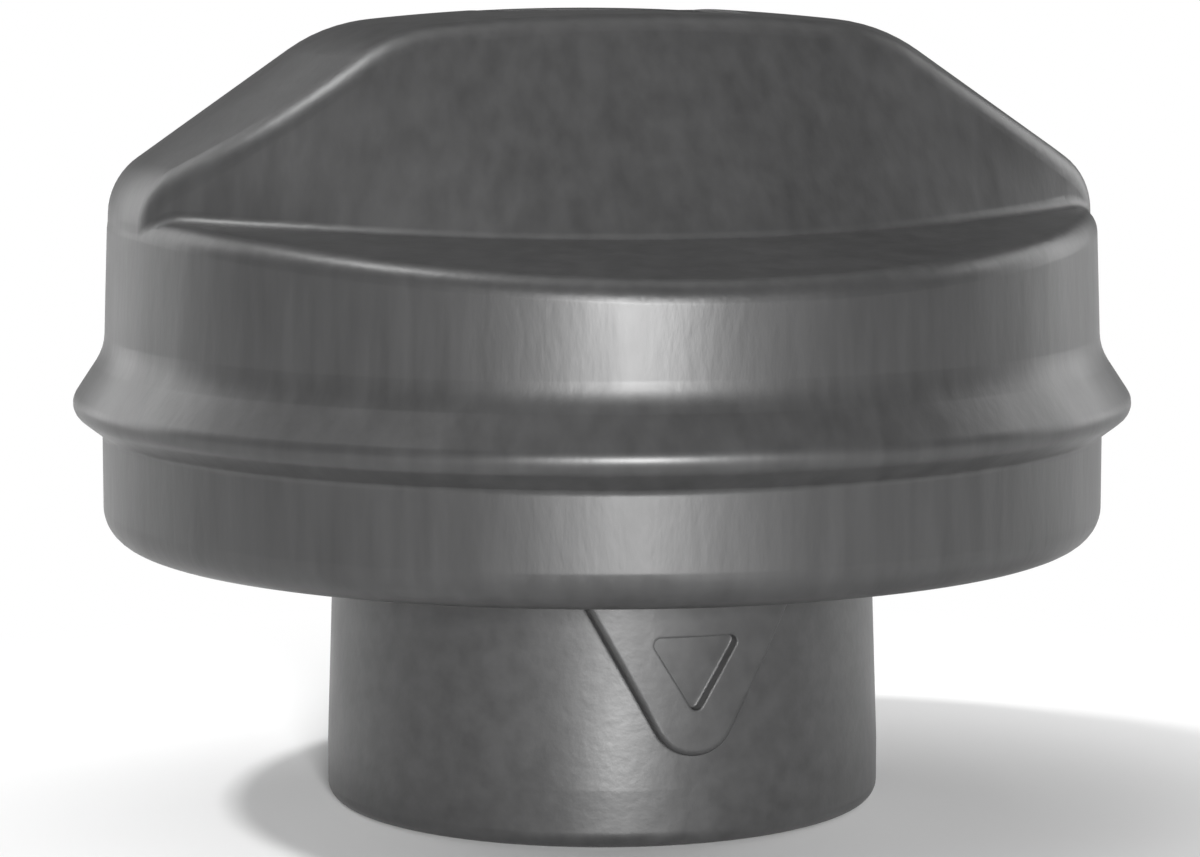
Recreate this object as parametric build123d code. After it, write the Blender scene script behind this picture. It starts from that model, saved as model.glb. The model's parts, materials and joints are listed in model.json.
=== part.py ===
from build123d import *
import math
import os

# Locking fuel cap. Millimetres, Z up, origin at the middle of the neck's lower rim.
# The grip runs along X. The neck housing stands still, the handle turns on it.

# Outer shape of the handle
skirt_bottom_z = 19.2
skirt_radius = 36.4
skirt_edge_fillet = 2.7
bead_low_z = 27.3
bead_tip_radius = 38.9
bead_tip_z = 29.2
bead_tip_fillet = 1.2
bead_root_fillet = 0.5
wall_low_radius = 36.2
wall_low_z = 33.3
wall_flare_fillet = 4.0
corner_radius = 35.75
corner_z = 45.55
corner_fillet = 5.0
knee_radius = 20.3
knee_z = 56.5
knee_fillet = 12.0
top_z = 57.8
shoulder_z = 43.65
shoulder_crown_radius = 220.0
shoulder_fillet = 1.6

# Grip ridge, half thickness in Y at two heights
ridge_low_z = 36.0
ridge_high_z = 60.0
ridge_low_mid = 26.7
ridge_high_mid = 9.2
ridge_end = 9.4
ridge_end_x = 34.0
ridge_reach_x = 36.9
ridge_edge_fillet = 2.8
ridge_foot_fillet = 1.0
ridge_end_step = 0.04

# Hollow of the handle
cavity_radius = 33.6
ceiling_z = 38.5
ridge_wall = 2.6
slope_wall = 2.4
roof_under_z = 52.4
ridge_cavity_radius = 33.2
bearing_rib_outer = 29.4
bearing_rib_inner = 27.0
lock_boss_radius = 9.3
lock_boss_low_z = 37.2
pillar_radius = 3.0
pillar_pitch_radius = 13.5

# Neck housing
neck_top_radius = 19.75
neck_land_radius = 20.25
neck_taper_top_z = 19.0
neck_land_top_z = 4.2
neck_edge_fillet = 1.2
neck_bore_radius = 17.4
flange_low_z = 27.0
flange_high_z = 29.5
flange_radius = 31.6
drive_ring_outer = 22.6
drive_ring_inner = 18.4
drive_ring_high_z = 34.0
drive_notch_count = 12
drive_notch_depth = 3.2
drive_notch_side_gap = 0.4
drive_notch_floor_z = 30.4
spring_spigot_outer = 7.5
spring_spigot_inner = 6.5
spring_spigot_height = 1.5
vent_radius = 1.2
vent_pitch_radius = 13.0
vent_count = 4

# V lugs on the neck, sizes across the lug and along Z
lug_root_inset = 1.0
lug_angles = (3.4, 183.4)
lug_face_radius = 21.2
lug_top_z = 20.5
lug_half_width = 9.2
lug_apex_z = 3.2
lug_apex_fillet = 3.0
lug_edge_fillet = 0.4
pocket_top_z = 15.0
pocket_apex_z = 9.4
pocket_half_width = 3.4
pocket_corner_fillet = 0.5
pocket_floor_radius = 20.15

# Gasket, slip washer and retaining ring
gasket_low_z = 24.4
gasket_outer = 28.4
gasket_edge_fillet = 0.5
washer_thickness = 0.6
washer_outer = 30.6
washer_inner = 25.5
washer_rib_gap = 0.2
ring_low_z = 24.9
ring_high_z = 26.7
ring_outer = 34.3
ring_gasket_gap = 2.2
ring_split_angle = 26.0
ring_lug_radius = 2.3
ring_lug_hole = 0.9
ring_groove_gap = 0.1

# Lock
sleeve_radius = 7.1
sleeve_low_z = 36.9
plug_radius = 4.8
plug_head_radius = 5.5
plug_head_high_z = 54.3
plug_low_z = 35.45
tail_radius = 2.5
tail_flat = 2.0
tail_low_z = 33.8
keyway_half_x = 3.4
keyway_half_y = 1.2
keyway_low_z = 39.6
wafer_count = 5
wafer_pitch = 2.2
wafer_first_z = 41.2
wafer_thickness = 0.9
wafer_half_y = 2.4
wafer_window_half_x = 2.9
wafer_window_half_y = 1.35
wafer_tab_x = 0.6
wafer_tab_length = 0.9
wafer_tab_reach_y = 3.6
wafer_travel = 0.7
wafer_slot_gap = 0.1
wafer_end_gap = 0.1
pocket_low_x = -2.6
pocket_high_x = 2.4
pocket_reach_y = 3.75
groove_end_gap = 0.3
groove_depth = wafer_travel + groove_end_gap
groove_count = 4
wafer_spring_radius = 0.38
wafer_spring_wire = 0.1
wafer_spring_turns = 5
wafer_spring_y = 3.1
clip_radius = 6.0
clip_low_z = 36.0
clip_thickness = 0.7
clip_seat_radius = 3.95

# Cam, bolt and carrier
cam_radius = 10.4
cam_low_z = 33.8
cam_thickness = 1.5
follower_radius = 1.1
follower_rest_x = 4.6
bolt_travel = 3.6
key_turn_angle = 90.0
cam_slot_steps = 12
cam_slot_gap = 0.2
bolt_low_z = 31.3
bolt_thickness = 2.2
bolt_width = 5.0
bolt_tail_x = -3.0
bolt_nose_x = 17.2
bolt_nose_fillet = 0.8
follower_high_z = 35.0
carrier_radius = 17.6
carrier_low_z = 29.9
carrier_high_z = 35.5
carrier_cam_gap = 0.4
bolt_side_gap = 0.1
screw_radius = 1.4
screw_high_z = 43.0
screw_head_radius = 2.4
screw_head_height = 1.5
screw_head_low_z = 30.1
screw_slot_width = 0.8
screw_slot_depth = 0.6
screw_count = 4

# Dust shutter in the top of the grip
recess_half_x = 8.9
recess_front_y = -7.7
recess_floor_z = 55.0
shutter_edge_gap = 0.25
shutter_floor_gap = 0.4
shutter_top_gap = 0.15
hinge_y = 6.6
hinge_z = 55.95
barrel_radius = 1.45
barrel_floor_gap = 0.3
barrel_back_gap = 0.6
pin_radius = 0.6
pin_seat = 1.4
spring_window_half = 2.6
nail_gap_half = 3.0
nail_gap_depth = 0.7
nail_bevel = 0.9
shutter_spring_wire = 0.16
shutter_spring_turns = 9
shutter_spring_half = 2.0

# Valves in the neck
seat_low_z = 3.2
seat_floor = 2.0
seat_wall = 1.6
seat_high_z = 11.0
seat_hole_radius = 8.5
seat_lip_width = 1.2
seat_lip_height = 1.0
seal_outer = 12.0
seal_inner = 6.8
seal_thickness = 1.4
plate_radius = 13.0
plate_thickness = 1.4
plate_collar_outer = 5.0
plate_collar_inner = 3.9
plate_collar_height = 1.2
plate_port_radius = 0.7
plate_port_pitch = 2.8
plate_port_count = 4
pressure_spring_radius = 8.5
pressure_spring_wire = 0.6
pressure_spring_turns = 5
stem_radius = 1.5
stem_gap = 0.1
stem_high_z = 14.6
valve_head_radius = 5.6
valve_head_thickness = 1.2
valve_head_gap = 0.1
keeper_radius = 3.6
keeper_thickness = 0.8
keeper_high_z = 14.2
vacuum_spring_radius = 2.4
vacuum_spring_wire = 0.25
vacuum_spring_turns = 5

# Fits
turn_gap = 0.05
press_gap = 0.02
head_gap = 0.3
overcut = 2.0
pick_gap = 0.05
pattern_start_angle = 45.0


def cylinder(radius, low_z, high_z):
    return Pos(0, 0, low_z) * Cylinder(radius, high_z - low_z, align=(Align.CENTER, Align.CENTER, Align.MIN))


def tube(outer, inner, low_z, high_z):
    return cylinder(outer, low_z, high_z) - cylinder(inner, low_z - overcut, high_z + overcut)


def block(low, high):
    size = [b - a for a, b in zip(low, high)]
    return Pos(*low) * Box(*size, align=(Align.MIN, Align.MIN, Align.MIN))


def around(shape, count, first=0.0):
    return [Rot(0, 0, first + 360.0 * i / count) * shape for i in range(count)]


def round_corners(face, corners):
    for x, y, radius in corners:
        corner = face.vertices().sort_by_distance((x, y, 0))[0]
        face = face.fillet_2d(radius, [corner])
    return face


def spun(face):
    return Rot(0, 0, 90) * revolve(Plane.XZ * face, axis=Axis.Z)


def solid_of(shape):
    return max(shape.solids(), key=lambda s: s.volume)


def coil(radius, wire, low_z, high_z, turns):
    rise = high_z - low_z - 2 * wire
    path = Helix(pitch=rise / turns, height=rise, radius=radius)
    section = Plane(origin=path @ 0, z_dir=path % 0) * Circle(wire)
    return Pos(0, 0, low_z + wire) * sweep(section, path=path, is_frenet=True)


# Handle

def wall_points(step=0.0):
    return [
        (0, skirt_bottom_z),
        (skirt_radius, skirt_bottom_z),
        (skirt_radius, bead_low_z),
        (bead_tip_radius, bead_tip_z),
        (wall_low_radius - step, wall_low_z),
        (corner_radius - step, corner_z),
    ]


def low_corners():
    return [
        (skirt_radius, skirt_bottom_z, skirt_edge_fillet),
        (skirt_radius, bead_low_z, bead_root_fillet),
        (bead_tip_radius, bead_tip_z, bead_tip_fillet),
        (wall_low_radius, wall_low_z, wall_flare_fillet),
    ]


def domed_envelope():
    dome_mid = (knee_radius / 2, top_z - (top_z - knee_z) / 4)
    edges = [
        Polyline(*wall_points(ridge_end_step), (knee_radius, knee_z)),
        ThreePointArc((knee_radius, knee_z), dome_mid, (0, top_z)),
        Line((0, top_z), (0, skirt_bottom_z)),
    ]
    face = make_face(edges).face()
    high_corners = [
        (corner_radius, corner_z, corner_fillet),
        (knee_radius, knee_z, knee_fillet),
    ]
    return spun(round_corners(face, low_corners() + high_corners))


def shouldered_base():
    face = make_face(Polyline(*wall_points(), (0, corner_z), close=True)).face()
    plain = spun(round_corners(face, low_corners()))
    crown = Pos(0, 0, shoulder_z - shoulder_crown_radius) * Rot(0, 90, 0)
    base = plain & crown * Cylinder(shoulder_crown_radius, 4 * skirt_radius)
    rim = [e for e in base.edges() if e.center().Z > wall_low_z + shoulder_fillet]
    return fillet(rim, shoulder_fillet)


def lens_face(mid, end, z):
    rise = mid - end
    bow = (ridge_end_x ** 2 + rise ** 2) / (2 * rise)
    reach_y = mid - bow + math.copysign(math.sqrt(bow ** 2 - ridge_reach_x ** 2), bow)
    front = ThreePointArc((-ridge_reach_x, -reach_y), (0, -mid), (ridge_reach_x, -reach_y))
    back = ThreePointArc((ridge_reach_x, reach_y), (0, mid), (-ridge_reach_x, reach_y))
    sides = [
        Line((ridge_reach_x, -reach_y), (ridge_reach_x, reach_y)),
        Line((-ridge_reach_x, reach_y), (-ridge_reach_x, -reach_y)),
    ]
    return Pos(0, 0, z) * make_face([front, back] + sides).face()


def ridge_loft(inset):
    low = lens_face(ridge_low_mid - inset, ridge_end - inset, ridge_low_z)
    high = lens_face(ridge_high_mid - inset, ridge_end - inset, ridge_high_z)
    return loft([low, high], ruled=True)


def grip_ridge():
    ridge = domed_envelope() & ridge_loft(0)
    upper = [e for e in ridge.edges().filter_by(GeomType.BSPLINE) if e.center().Z > ridge_low_z + overcut]
    return fillet(upper, ridge_edge_fillet)


def ridge_hollow():
    drop = slope_wall / math.cos(math.atan2(knee_z - corner_z, corner_radius - knee_radius))
    steep = (knee_z - corner_z) / (corner_radius - knee_radius)
    shoulder = corner_z - drop + (corner_radius - ridge_cavity_radius) * steep
    roof_radius = corner_radius - (roof_under_z - corner_z + drop) / steep
    outline = Polyline(
        (0, ridge_low_z + overcut),
        (ridge_cavity_radius, ridge_low_z + overcut),
        (ridge_cavity_radius, shoulder),
        (roof_radius, roof_under_z),
        (0, roof_under_z),
        close=True,
    )
    return spun(make_face(outline).face()) & ridge_loft(ridge_wall)


def hinge_line(shape):
    return Pos(0, hinge_y, hinge_z) * Rot(0, 90, 0) * shape


def recess_back_y():
    return hinge_y + barrel_radius + barrel_back_gap


def shutter_recess():
    high_z = top_z + overcut
    main = block((-recess_half_x, recess_front_y, recess_floor_z), (recess_half_x, recess_back_y(), high_z))
    barrel_room = barrel_radius + barrel_floor_gap
    deep_low = (-recess_half_x, hinge_y - barrel_room, hinge_z - barrel_room)
    main += block(deep_low, (recess_half_x, recess_back_y(), high_z))
    nail_low = (-nail_gap_half, recess_front_y - nail_gap_depth, recess_floor_z + shutter_floor_gap)
    return main + block(nail_low, (nail_gap_half, 0, high_z))


def outer_body():
    body = shouldered_base() + grip_ridge()
    level = [e for e in body.edges() if ceiling_z < e.center().Z < shoulder_z]
    feet = [e for e in level if ridge_end < abs(e.center().Y) < ridge_low_mid]
    longest = sorted(feet, key=lambda e: abs(e.center().X))[:2]
    return fillet(longest, ridge_foot_fillet)


def handle_shell():
    body = outer_body()
    body -= cylinder(cavity_radius, skirt_bottom_z - overcut, ceiling_z)
    body -= ridge_hollow()
    rib_low_z = flange_high_z + washer_thickness + washer_rib_gap
    body += tube(bearing_rib_outer, bearing_rib_inner, rib_low_z, ceiling_z + overcut)
    pitch = Pos(pillar_pitch_radius, 0, 0)
    pillar = pitch * cylinder(pillar_radius, carrier_high_z, roof_under_z + press_gap)
    posts = around(pillar, screw_count, pattern_start_angle)
    posts.append(cylinder(lock_boss_radius, lock_boss_low_z, roof_under_z + press_gap))
    keep = ridge_loft(ridge_wall / 2)
    for post in posts:
        body += post & (keep + cylinder(cavity_radius, skirt_bottom_z, ceiling_z))
    body -= cylinder(sleeve_radius + press_gap, lock_boss_low_z - overcut, roof_under_z)
    body -= cylinder(plug_head_radius + head_gap, roof_under_z - overcut, top_z)
    pilot_radius = screw_radius + press_gap
    pilot = pitch * cylinder(pilot_radius, carrier_high_z - overcut, screw_high_z + overcut)
    for hole in around(pilot, screw_count, pattern_start_angle):
        body -= hole
    body -= shutter_recess()
    body -= hinge_line(Cylinder(pin_radius + press_gap, 2 * (recess_half_x + pin_seat)))
    groove_radius = ring_outer + ring_groove_gap
    body -= cylinder(groove_radius, ring_low_z - ring_groove_gap, ring_high_z + ring_groove_gap)
    return solid_of(body)


def dust_shutter():
    low_z = recess_floor_z + shutter_floor_gap
    half_x = recess_half_x - shutter_edge_gap
    front_y = recess_front_y + shutter_edge_gap
    arch = (knee_radius ** 2 + (top_z - knee_z) ** 2) / (2 * (top_z - knee_z))
    side_drop = arch - math.sqrt(arch ** 2 - front_y ** 2)
    plate = block((-half_x, front_y, low_z), (half_x, hinge_y, top_z))
    arch_z = top_z - shutter_top_gap - side_drop - arch
    plate &= Pos(0, 0, arch_z) * Rot(90, 0, 0) * Cylinder(arch, 4 * half_x)
    under = plate.edges().filter_by(Axis.X).group_by(Axis.Z)[0].group_by(Axis.Y)[0]
    plate = chamfer(under, nail_bevel)
    flap = plate + hinge_line(Cylinder(barrel_radius, 2 * half_x))
    window_low = (-spring_window_half, hinge_y - barrel_radius - shutter_edge_gap, low_z - overcut)
    flap -= block(window_low, (spring_window_half, hinge_y + 2 * barrel_radius, top_z))
    flap -= hinge_line(Cylinder(pin_radius + turn_gap, 4 * half_x))
    return solid_of(flap)


def shutter_pin():
    return hinge_line(Cylinder(pin_radius, 2 * (recess_half_x + pin_seat - press_gap)))


def shutter_spring():
    radius = pin_radius + turn_gap + shutter_spring_wire
    turns = coil(radius, shutter_spring_wire, -shutter_spring_half, shutter_spring_half, shutter_spring_turns)
    return solid_of(hinge_line(turns))


# Lock

def lock_sleeve():
    body = tube(sleeve_radius, plug_radius + turn_gap, sleeve_low_z, roof_under_z)
    low_z = wafer_first_z - wafer_pitch / 2
    high_z = wafer_first_z + wafer_pitch * (wafer_count - 0.5)
    half_y = wafer_half_y + 2 * wafer_slot_gap
    groove = block((0, -half_y, low_z), (plug_radius + groove_depth, half_y, high_z))
    for cut in around(groove, groove_count):
        body -= cut
    return solid_of(body)


def wafer_levels():
    return [wafer_first_z + wafer_pitch * i for i in range(wafer_count)]


def lock_plug():
    body = cylinder(plug_radius, plug_low_z, roof_under_z + turn_gap)
    body += cylinder(plug_head_radius, roof_under_z + turn_gap, plug_head_high_z)
    tail = cylinder(tail_radius, tail_low_z, plug_low_z)
    tail &= block((-tail_flat, -tail_radius, tail_low_z), (tail_flat, tail_radius, plug_low_z))
    body += tail
    body -= block((-keyway_half_x, -keyway_half_y, keyway_low_z), (keyway_half_x, keyway_half_y, top_z))
    half = wafer_thickness / 2 + wafer_slot_gap
    half_y = wafer_half_y + wafer_slot_gap
    for z in wafer_levels():
        body -= block((-plug_radius, -half_y, z - half), (plug_radius, half_y, z + half))
        body -= block((pocket_low_x, 0, z - half), (pocket_high_x, pocket_reach_y, z + half))
    groove_low = clip_low_z - turn_gap
    groove_high = clip_low_z + clip_thickness + turn_gap
    body -= tube(plug_radius + overcut, clip_seat_radius, groove_low, groove_high)
    return solid_of(body)


def wafers():
    half = wafer_thickness / 2
    reach = plug_radius - wafer_end_gap
    blank = block((-reach, -wafer_half_y, -half), (reach, wafer_half_y, half)) & cylinder(reach, -half, half)
    tab_end_x = wafer_tab_x + wafer_tab_length
    blank += block((wafer_tab_x, 0, -half), (tab_end_x, wafer_tab_reach_y, half))
    window_low = (-wafer_window_half_x, -wafer_window_half_y, -overcut)
    window_high = (wafer_window_half_x, wafer_window_half_y, overcut)
    blank -= block(window_low, window_high)
    return Compound([solid_of(Pos(0, 0, z) * blank) for z in wafer_levels()])


def wafer_springs():
    one = coil(wafer_spring_radius, wafer_spring_wire, pocket_low_x, wafer_tab_x, wafer_spring_turns)
    lying = Rot(0, 90, 0) * one
    return Compound([solid_of(Pos(0, wafer_spring_y, z) * lying) for z in wafer_levels()])


def plug_clip():
    seat = clip_seat_radius + press_gap
    ring = tube(clip_radius, seat, clip_low_z, clip_low_z + clip_thickness)
    mouth_low = (-seat, -clip_radius - overcut, clip_low_z - overcut)
    mouth = block(mouth_low, (seat, 0, clip_low_z + clip_thickness + overcut))
    return solid_of(ring - mouth)


# Cam, bolt and carrier

def cam_slot():
    lead = bolt_travel / math.radians(key_turn_angle)
    half = follower_radius + cam_slot_gap
    centre_line = []
    for i in range(cam_slot_steps + 1):
        turn = math.radians(key_turn_angle) * i / cam_slot_steps
        centre_line.append((follower_rest_x + lead * turn, -turn))
    inner = [((r - half) * math.cos(a), (r - half) * math.sin(a)) for r, a in centre_line]
    outer = [((r + half) * math.cos(a), (r + half) * math.sin(a)) for r, a in centre_line]
    edges = [Spline(*inner), Line(inner[-1], outer[-1]), Spline(*outer), Line(outer[0], inner[0])]
    depth = cam_thickness + 2 * overcut
    slot = extrude(make_face(edges).face(), depth, dir=(0, 0, 1))
    for r, a in (centre_line[0], centre_line[-1]):
        end = cylinder(half, 0, depth)
        slot += Pos(r * math.cos(a), r * math.sin(a), 0) * end
    return Pos(0, 0, cam_low_z - overcut) * slot


def lock_cam():
    high_z = cam_low_z + cam_thickness
    hole = cylinder(tail_radius + press_gap, cam_low_z - overcut, high_z + overcut)
    flat = tail_flat + press_gap
    hole &= block((-flat, -plug_radius, cam_low_z - overcut), (flat, plug_radius, high_z + overcut))
    return solid_of(cylinder(cam_radius, cam_low_z, high_z) - hole - cam_slot())


def lock_bolt():
    high_z = bolt_low_z + bolt_thickness
    bar = block((bolt_tail_x, -bolt_width / 2, bolt_low_z), (bolt_nose_x, bolt_width / 2, high_z))
    nose = bar.edges().filter_by(Axis.Z).group_by(Axis.X)[-1]
    bar = fillet(nose, bolt_nose_fillet)
    bar += Pos(follower_rest_x, 0, 0) * cylinder(follower_radius, bolt_low_z, follower_high_z)
    return solid_of(bar)


def bolt_carrier():
    plate = cylinder(carrier_radius, carrier_low_z, carrier_high_z)
    high_z = bolt_low_z + bolt_thickness + bolt_side_gap
    half_y = bolt_width / 2 + bolt_side_gap
    low = (bolt_tail_x - 2 * bolt_side_gap, -half_y, bolt_low_z - bolt_side_gap)
    plate -= block(low, (carrier_radius + overcut, half_y, high_z))
    plate -= cylinder(cam_radius + carrier_cam_gap, high_z, carrier_high_z + overcut)
    half_slot = follower_radius + cam_slot_gap
    slot_low = (0, -half_slot, high_z - overcut)
    plate -= block(slot_low, (carrier_radius + overcut, half_slot, carrier_high_z + overcut))
    pitch = Pos(pillar_pitch_radius, 0, 0)
    through = pitch * cylinder(screw_radius + press_gap, carrier_low_z - overcut, carrier_high_z + overcut)
    head_high_z = screw_head_low_z + screw_head_height
    head_room = pitch * cylinder(screw_head_radius + head_gap, carrier_low_z - overcut, head_high_z)
    for hole in around(through + head_room, screw_count, pattern_start_angle):
        plate -= hole
    return solid_of(plate)


def carrier_screws():
    seat_z = screw_head_low_z + screw_head_height
    screw = cylinder(screw_head_radius, screw_head_low_z, seat_z)
    screw += cylinder(screw_radius, seat_z, screw_high_z)
    slot_high_z = screw_head_low_z + screw_slot_depth
    half_slot = screw_slot_width / 2
    slot_low = (-screw_head_radius, -half_slot, carrier_low_z)
    screw -= block(slot_low, (screw_head_radius, half_slot, slot_high_z))
    placed = Pos(pillar_pitch_radius, 0, 0) * screw
    return Compound([solid_of(s) for s in around(placed, screw_count, pattern_start_angle)])


# Neck housing with its gasket, washer and ring

def edge_radius(edge):
    return math.hypot(edge.center().X, edge.center().Y)


def lug(angle):
    tall = Polyline((-lug_half_width, lug_top_z), (lug_half_width, lug_top_z), (0, lug_apex_z), close=True)
    outline = round_corners(make_face(tall).face(), [(0, lug_apex_z, lug_apex_fillet)])
    pad = extrude(Plane.XZ * outline, lug_face_radius + overcut, dir=(0, -1, 0))
    pad &= tube(lug_face_radius, neck_bore_radius + lug_root_inset, lug_apex_z, lug_top_z)
    pad = solid_of(pad)
    face_edges = [e for e in pad.edges() if abs(edge_radius(e) - lug_face_radius) < pick_gap]
    pad = fillet([e for e in face_edges if e.center().Z < lug_top_z - pick_gap], lug_edge_fillet)
    corners = [(-pocket_half_width, pocket_top_z), (pocket_half_width, pocket_top_z), (0, pocket_apex_z)]
    hollow = Polyline(*corners, close=True)
    face = round_corners(make_face(hollow).face(), [(x, z, pocket_corner_fillet) for x, z in corners])
    cut = extrude(Plane.XZ * face, lug_face_radius + overcut, dir=(0, -1, 0))
    pad -= cut - cylinder(pocket_floor_radius, 0, lug_top_z)
    return Rot(0, 0, angle) * pad


def drive_notch():
    half = bolt_width / 2 + drive_notch_side_gap
    low = (drive_ring_inner - overcut, -half, drive_notch_floor_z)
    return block(low, (drive_ring_inner + drive_notch_depth, half, drive_ring_high_z + overcut))


def neck_housing():
    outline = Polyline(
        (neck_bore_radius, 0),
        (neck_land_radius, 0),
        (neck_land_radius, neck_land_top_z),
        (neck_top_radius, neck_taper_top_z),
        (neck_top_radius, flange_low_z),
        (flange_radius, flange_low_z),
        (flange_radius, flange_high_z),
        (0, flange_high_z),
        (0, flange_low_z),
        (neck_bore_radius, flange_low_z),
        close=True,
    )
    face = round_corners(make_face(outline).face(), [(neck_land_radius, 0, neck_edge_fillet)])
    body = spun(face)
    body += tube(drive_ring_outer, drive_ring_inner, flange_high_z, drive_ring_high_z)
    for notch in around(drive_notch(), drive_notch_count):
        body -= notch
    spigot_low = flange_low_z - spring_spigot_height
    body += tube(spring_spigot_outer, spring_spigot_inner, spigot_low, flange_low_z)
    vent = cylinder(vent_radius, flange_low_z - overcut, flange_high_z + overcut)
    vent = Pos(vent_pitch_radius, 0, 0) * vent
    for hole in around(vent, vent_count, pattern_start_angle):
        body -= hole
    for angle in lug_angles:
        body += lug(angle)
    return solid_of(body)


def neck_gasket():
    ring = tube(gasket_outer, neck_top_radius + press_gap, gasket_low_z, flange_low_z)
    circles = ring.edges().filter_by(GeomType.CIRCLE)
    outer_edges = [e for e in circles if abs(e.radius - gasket_outer) < pick_gap]
    return solid_of(fillet(outer_edges, gasket_edge_fillet))


def slip_washer():
    return tube(washer_outer, washer_inner, flange_high_z, flange_high_z + washer_thickness)


def retaining_ring():
    ring_inner = gasket_outer + ring_gasket_gap
    ring = tube(ring_outer, ring_inner, ring_low_z, ring_high_z)
    reach = ring_outer + overcut
    half = math.radians(ring_split_angle / 2)
    corner_y = reach * math.tan(half)
    wedge = Polyline((0, 0), (reach, -corner_y), (reach, corner_y), close=True)
    split = extrude(make_face(wedge).face(), ring_high_z - ring_low_z + 2 * overcut)
    ring -= Pos(0, 0, ring_low_z - overcut) * split
    lug_pitch = ring_inner + ring_lug_radius / 2
    lug_turn = ring_split_angle / 2 + math.degrees(ring_lug_radius / lug_pitch)
    for side in (-1, 1):
        spot = Rot(0, 0, side * lug_turn) * Pos(lug_pitch, 0, 0)
        ring += spot * cylinder(ring_lug_radius, ring_low_z, ring_high_z)
        ring -= spot * cylinder(ring_lug_hole, ring_low_z - overcut, ring_high_z + overcut)
    return solid_of(ring)


# Valves

def seat_lip_z():
    return seat_low_z + seat_floor + seat_lip_height


def plate_low_z():
    return seat_lip_z() + seal_thickness


def plate_high_z():
    return plate_low_z() + plate_thickness


def valve_seat():
    outer = neck_bore_radius - press_gap
    floor_z = seat_low_z + seat_floor
    cup = tube(outer, seat_hole_radius, seat_low_z, floor_z)
    cup += tube(outer, outer - seat_wall, seat_low_z, seat_high_z)
    cup += tube(seat_hole_radius + seat_lip_width, seat_hole_radius, seat_low_z, seat_lip_z())
    return solid_of(cup)


def valve_seal():
    return tube(seal_outer, seal_inner, seat_lip_z(), plate_low_z())


def pressure_valve():
    plate = tube(plate_radius, stem_radius + stem_gap, plate_low_z(), plate_high_z())
    collar_high = plate_high_z() + plate_collar_height
    plate += tube(plate_collar_outer, plate_collar_inner, plate_high_z(), collar_high)
    port = cylinder(plate_port_radius, plate_low_z() - overcut, plate_high_z() + overcut)
    port = Pos(plate_port_pitch, 0, 0) * port
    for hole in around(port, plate_port_count, pattern_start_angle):
        plate -= hole
    return solid_of(plate)


def pressure_spring():
    low_z = plate_high_z()
    turns = coil(pressure_spring_radius, pressure_spring_wire, low_z, flange_low_z, pressure_spring_turns)
    return solid_of(turns)


def vacuum_valve():
    head_high = plate_low_z() - valve_head_gap
    valve = cylinder(valve_head_radius, head_high - valve_head_thickness, head_high)
    valve += cylinder(stem_radius, head_high, stem_high_z)
    return solid_of(valve)


def vacuum_keeper():
    return tube(keeper_radius, stem_radius + press_gap, keeper_high_z - keeper_thickness, keeper_high_z)


def vacuum_spring():
    top = keeper_high_z - keeper_thickness
    return solid_of(coil(vacuum_spring_radius, vacuum_spring_wire, plate_high_z(), top, vacuum_spring_turns))


nodes = {
    "handle_shell": handle_shell,
    "dust_shutter": dust_shutter,
    "shutter_pin": shutter_pin,
    "shutter_spring": shutter_spring,
    "lock_sleeve": lock_sleeve,
    "lock_plug": lock_plug,
    "wafers": wafers,
    "wafer_springs": wafer_springs,
    "plug_clip": plug_clip,
    "lock_cam": lock_cam,
    "lock_bolt": lock_bolt,
    "bolt_carrier": bolt_carrier,
    "carrier_screws": carrier_screws,
    "neck_housing": neck_housing,
    "neck_gasket": neck_gasket,
    "slip_washer": slip_washer,
    "retaining_ring": retaining_ring,
    "valve_seat": valve_seat,
    "valve_seal": valve_seal,
    "pressure_valve": pressure_valve,
    "pressure_spring": pressure_spring,
    "vacuum_valve": vacuum_valve,
    "vacuum_keeper": vacuum_keeper,
    "vacuum_spring": vacuum_spring,
}

os.makedirs("parts", exist_ok=True)
for name, make in nodes.items():
    export_step(make(), "parts/" + name + ".step")
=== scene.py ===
import json
import math

import bpy
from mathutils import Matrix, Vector

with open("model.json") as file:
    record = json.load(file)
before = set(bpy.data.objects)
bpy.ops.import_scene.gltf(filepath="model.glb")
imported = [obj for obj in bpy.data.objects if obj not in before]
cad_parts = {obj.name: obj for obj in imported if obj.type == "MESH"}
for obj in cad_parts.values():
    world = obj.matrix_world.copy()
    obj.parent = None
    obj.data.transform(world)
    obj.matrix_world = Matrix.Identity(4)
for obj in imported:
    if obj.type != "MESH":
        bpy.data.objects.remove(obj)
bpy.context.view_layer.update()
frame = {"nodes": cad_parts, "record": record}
nodes = frame["nodes"]
scene = bpy.context.scene
scene.view_settings.view_transform = "Standard"

# View of the photo
camera_turn = math.radians(-14.5)
camera_distance = 0.300
camera_height = 0.0637
aim_height = 0.028
focal_pixels = 4119.0
image_width = 1200.0
sensor_width = 36.0
centre_shift = (-0.00175, -0.0114)

# Plastic colours, and where the floor's shadow fades into the white surroundings
handle_colour = (0.027, 0.027, 0.0273)
neck_colour = (0.03, 0.03, 0.0303)
shutter_colour = (0.022, 0.022, 0.0225)
shadow_near = 0.035
shadow_far = 0.085
floor_size = 6.0
floor_tone = 0.88
room_tone = 0.14

# Texture scales per metre, and how far colours swing
broad_scale = 90.0
streak_scale = 700.0
floor_scale = 400.0
dark_share = 0.82
light_share = 1.2
worn_share = 1.8
worn_lift = 0.03
flat_cosine = 0.995
sharp_cosine = 0.80


def node(tree, kind, **values):
    made = tree.nodes.new(kind)
    for key, value in values.items():
        if key in made.inputs:
            made.inputs[key].default_value = value
        else:
            setattr(made, key, value)
    return made


def link(tree, a, out, b, into):
    tree.links.new(a.outputs[out], b.inputs[into])


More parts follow.
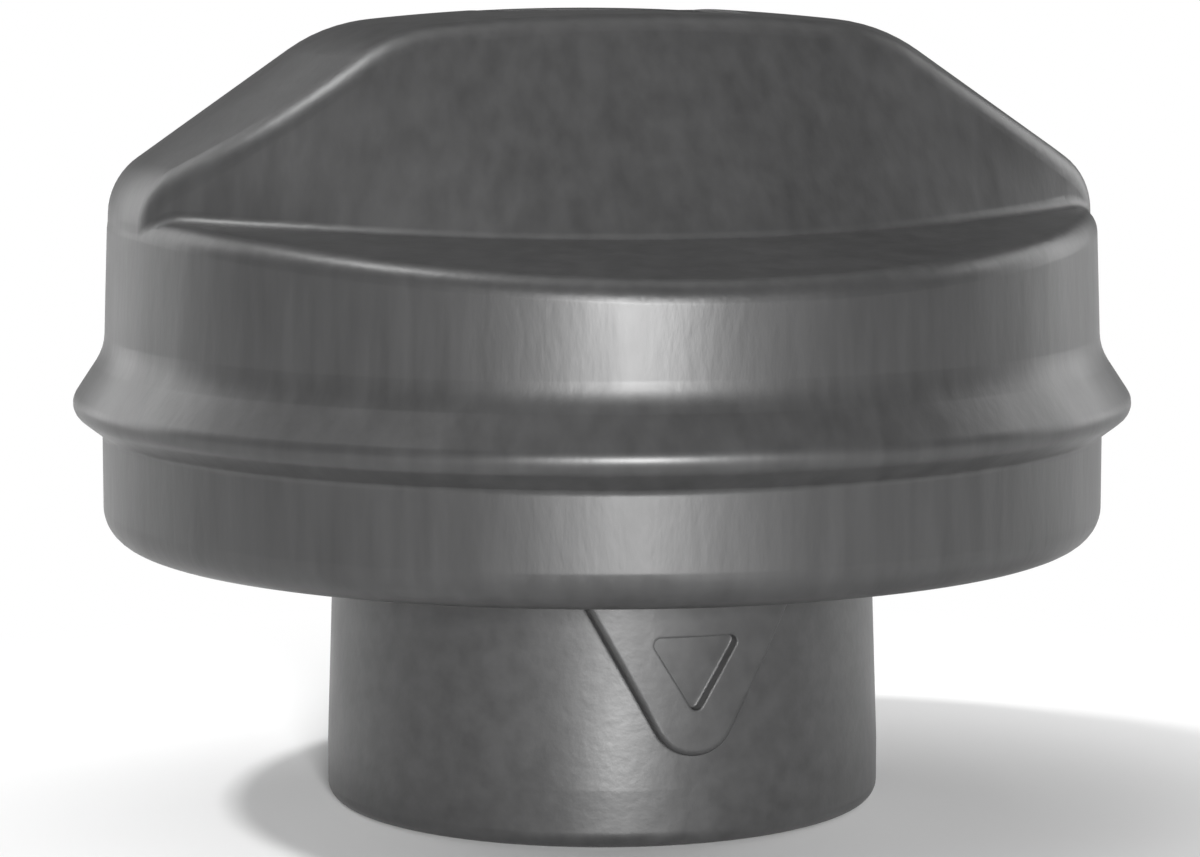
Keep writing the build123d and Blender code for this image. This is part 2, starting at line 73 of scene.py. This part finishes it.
def spread(tree, source, low, high, out="Fac", from_low=0.3, from_high=0.7):
    made = node(tree, "ShaderNodeMapRange")
    made.inputs["From Min"].default_value = from_low
    made.inputs["From Max"].default_value = from_high
    made.inputs["To Min"].default_value = low
    made.inputs["To Max"].default_value = high
    link(tree, source, out, made, "Value")
    return made


def noise(tree, coords, scale, detail=3.0, out="Vector"):
    made = node(tree, "ShaderNodeTexNoise")
    made.inputs["Scale"].default_value = scale
    made.inputs["Detail"].default_value = detail
    link(tree, coords, out, made, "Vector")
    return made


def edge_mask(tree, radius, gain):
    bevel = node(tree, "ShaderNodeBevel", samples=6)
    bevel.inputs["Radius"].default_value = radius
    shape = node(tree, "ShaderNodeNewGeometry")
    dot = node(tree, "ShaderNodeVectorMath", operation="DOT_PRODUCT")
    link(tree, bevel, "Normal", dot, 0)
    link(tree, shape, "Normal", dot, 1)
    made = node(tree, "ShaderNodeMapRange")
    made.inputs["From Min"].default_value = flat_cosine
    made.inputs["From Max"].default_value = sharp_cosine
    made.inputs["To Min"].default_value = 0.0
    made.inputs["To Max"].default_value = gain
    link(tree, dot, "Value", made, "Value")
    return made, bevel


def surface(name, colour, rough, metallic=0.0, grain=1800.0, grain_depth=0.00002, swing=0.06, edge=0.12,
            stretch=(1.0, 1.0, 1.0), streak=(1.0, 1.0, 1.0), specular=0.5, soften=0.00025):
    made = bpy.data.materials.new(name)
    made.use_nodes = True
    tree = made.node_tree
    shader = tree.nodes["Principled BSDF"]
    shader.inputs["Metallic"].default_value = metallic
    shader.inputs["Specular IOR Level"].default_value = specular
    coords = node(tree, "ShaderNodeTexCoord")
    mapping = node(tree, "ShaderNodeMapping")
    mapping.inputs["Scale"].default_value = stretch
    link(tree, coords, "Object", mapping, "Vector")
    broad = noise(tree, mapping, broad_scale, 4.0)
    fine = noise(tree, mapping, grain)
    roughness = spread(tree, broad, rough - swing, rough + swing)
    link(tree, roughness, "Result", shader, "Roughness")
    wear, bevel = edge_mask(tree, soften, edge)
    upright = node(tree, "ShaderNodeMapping")
    upright.inputs["Scale"].default_value = streak
    link(tree, coords, "Object", upright, "Vector")
    streaks = spread(tree, noise(tree, upright, streak_scale), 0.0, 1.0)
    patch = node(tree, "ShaderNodeMix", data_type="RGBA")
    patch.inputs["A"].default_value = (*[c * dark_share for c in colour], 1.0)
    patch.inputs["B"].default_value = (*[min(1.0, c * light_share) for c in colour], 1.0)
    link(tree, streaks, "Result", patch, "Factor")
    worn = node(tree, "ShaderNodeMix", data_type="RGBA")
    worn.inputs["B"].default_value = (*[min(1.0, c * worn_share + worn_lift) for c in colour], 1.0)
    link(tree, wear, "Result", worn, "Factor")
    link(tree, patch, "Result", worn, "A")
    link(tree, worn, "Result", shader, "Base Color")
    bump = node(tree, "ShaderNodeBump")
    bump.inputs["Strength"].default_value = 0.5
    bump.inputs["Distance"].default_value = grain_depth
    link(tree, fine, "Fac", bump, "Height")
    link(tree, bevel, "Normal", bump, "Normal")
    link(tree, bump, "Normal", shader, "Normal")
    return made


looks = {
    "handle_plastic": surface("handle_plastic", handle_colour, 0.42, grain=1400.0, grain_depth=0.00003,
                              stretch=(1.0, 1.0, 0.35), streak=(1.0, 1.0, 0.12)),
    "neck_plastic": surface("neck_plastic", neck_colour, 0.42, grain=1400.0, grain_depth=0.00003),
    "shutter_plastic": surface("shutter_plastic", shutter_colour, 0.45, grain=2200.0, grain_depth=0.00004),
    "inner_plastic": surface("inner_plastic", (0.55, 0.54, 0.5), 0.45, grain=1500.0),
    "seal_rubber": surface("seal_rubber", (0.02, 0.02, 0.02), 0.62, grain=1200.0, grain_depth=0.00005,
                           specular=0.3),
    "zinc_casting": surface("zinc_casting", (0.55, 0.55, 0.56), 0.36, metallic=1.0, grain=2500.0),
    "wafer_brass": surface("wafer_brass", (0.65, 0.5, 0.22), 0.33, metallic=1.0, grain=2500.0,
                           stretch=(0.2, 1.0, 1.0)),
    "spring_steel": surface("spring_steel", (0.5, 0.5, 0.52), 0.28, metallic=1.0, grain=3000.0),
    "plated_steel": surface("plated_steel", (0.6, 0.6, 0.62), 0.34, metallic=1.0, grain=2500.0),
}

for entry in frame["record"]["subparts"]:
    shape = nodes[entry["node"]]
    shape.data.materials.clear()
    shape.data.materials.append(looks[entry["material_slot"]])


# Floor and surroundings
def floor_material():
    made = bpy.data.materials.new("floor_paper")
    made.use_nodes = True
    tree = made.node_tree
    shader = tree.nodes["Principled BSDF"]
    coords = node(tree, "ShaderNodeTexCoord")
    grain = noise(tree, coords, floor_scale, out="Object")
    rough = spread(tree, grain, 0.85, 0.95)
    link(tree, rough, "Result", shader, "Roughness")
    shader.inputs["Base Color"].default_value = (floor_tone, floor_tone, floor_tone, 1.0)
    shader.inputs["Specular IOR Level"].default_value = 0.1
    reach = node(tree, "ShaderNodeVectorMath", operation="LENGTH")
    link(tree, coords, "Object", reach, 0)
    fade = spread(tree, reach, 0.0, 1.0, out="Value", from_low=shadow_near, from_high=shadow_far)
    fade.interpolation_type = "SMOOTHSTEP"
    paths = node(tree, "ShaderNodeLightPath")
    seen = node(tree, "ShaderNodeMath", operation="MULTIPLY")
    link(tree, fade, "Result", seen, 0)
    link(tree, paths, "Is Camera Ray", seen, 1)
    white = node(tree, "ShaderNodeEmission")
    white.inputs["Color"].default_value = (1.0, 1.0, 1.0, 1.0)
    blend = node(tree, "ShaderNodeMixShader")
    link(tree, seen, "Value", blend, 0)
    link(tree, shader, "BSDF", blend, 1)
    link(tree, white, "Emission", blend, 2)
    link(tree, blend, "Shader", tree.nodes["Material Output"], "Surface")
    return made


bpy.ops.mesh.primitive_plane_add(size=floor_size, location=(0.0, 0.0, 0.0))
floor = bpy.context.object
floor.name = "floor"
floor.data.materials.append(floor_material())


def area_light(name, place, aim, size, power):
    data = bpy.data.lights.new(name, "AREA")
    data.shape = "RECTANGLE"
    data.size = size[0]
    data.size_y = size[1]
    data.energy = power
    made = bpy.data.objects.new(name, data)
    scene.collection.objects.link(made)
    made.location = place
    made.rotation_euler = (Vector(aim) - Vector(place)).to_track_quat("-Z", "Y").to_euler()


def around(turn, distance, height):
    angle = camera_turn + math.radians(turn)
    return (distance * math.sin(angle), -distance * math.cos(angle), height)


middle = (0.0, 0.0, 0.03)
area_light("front_strip", around(7.0, 1.2, 0.16), middle, (0.16, 0.30), 26.0)
area_light("left_back_panel", around(-125.0, 1.2, 0.42), middle, (0.8, 1.1), 9.0)
area_light("right_back_panel", around(125.0, 1.2, 0.42), middle, (0.8, 1.1), 9.0)
area_light("left_top_light", around(-95.0, 0.5, 1.1), middle, (0.12, 0.12), 7.0)
area_light("top_fill", (0.0, 0.25, 1.5), middle, (1.2, 1.2), 4.0)

world = bpy.data.worlds.new("surroundings")
scene.world = world
world.use_nodes = True
tree = world.node_tree
back = tree.nodes["Background"]
paths = node(tree, "ShaderNodeLightPath")
pick = node(tree, "ShaderNodeMix", data_type="RGBA")
pick.inputs["A"].default_value = (room_tone, room_tone, room_tone, 1.0)
pick.inputs["B"].default_value = (1.0, 1.0, 1.0, 1.0)
link(tree, paths, "Is Camera Ray", pick, "Factor")
link(tree, pick, "Result", back, "Color")

# Camera
data = bpy.data.cameras.new("camera")
data.sensor_width = sensor_width
data.sensor_fit = "HORIZONTAL"
data.lens = focal_pixels / image_width * sensor_width
data.shift_x, data.shift_y = centre_shift
data.clip_start = 0.01
camera = bpy.data.objects.new("camera", data)
scene.collection.objects.link(camera)
camera.location = around(0.0, camera_distance, camera_height)
camera.rotation_euler = (Vector((0, 0, aim_height)) - camera.location).to_track_quat("-Z", "Y").to_euler()
scene.camera = camera
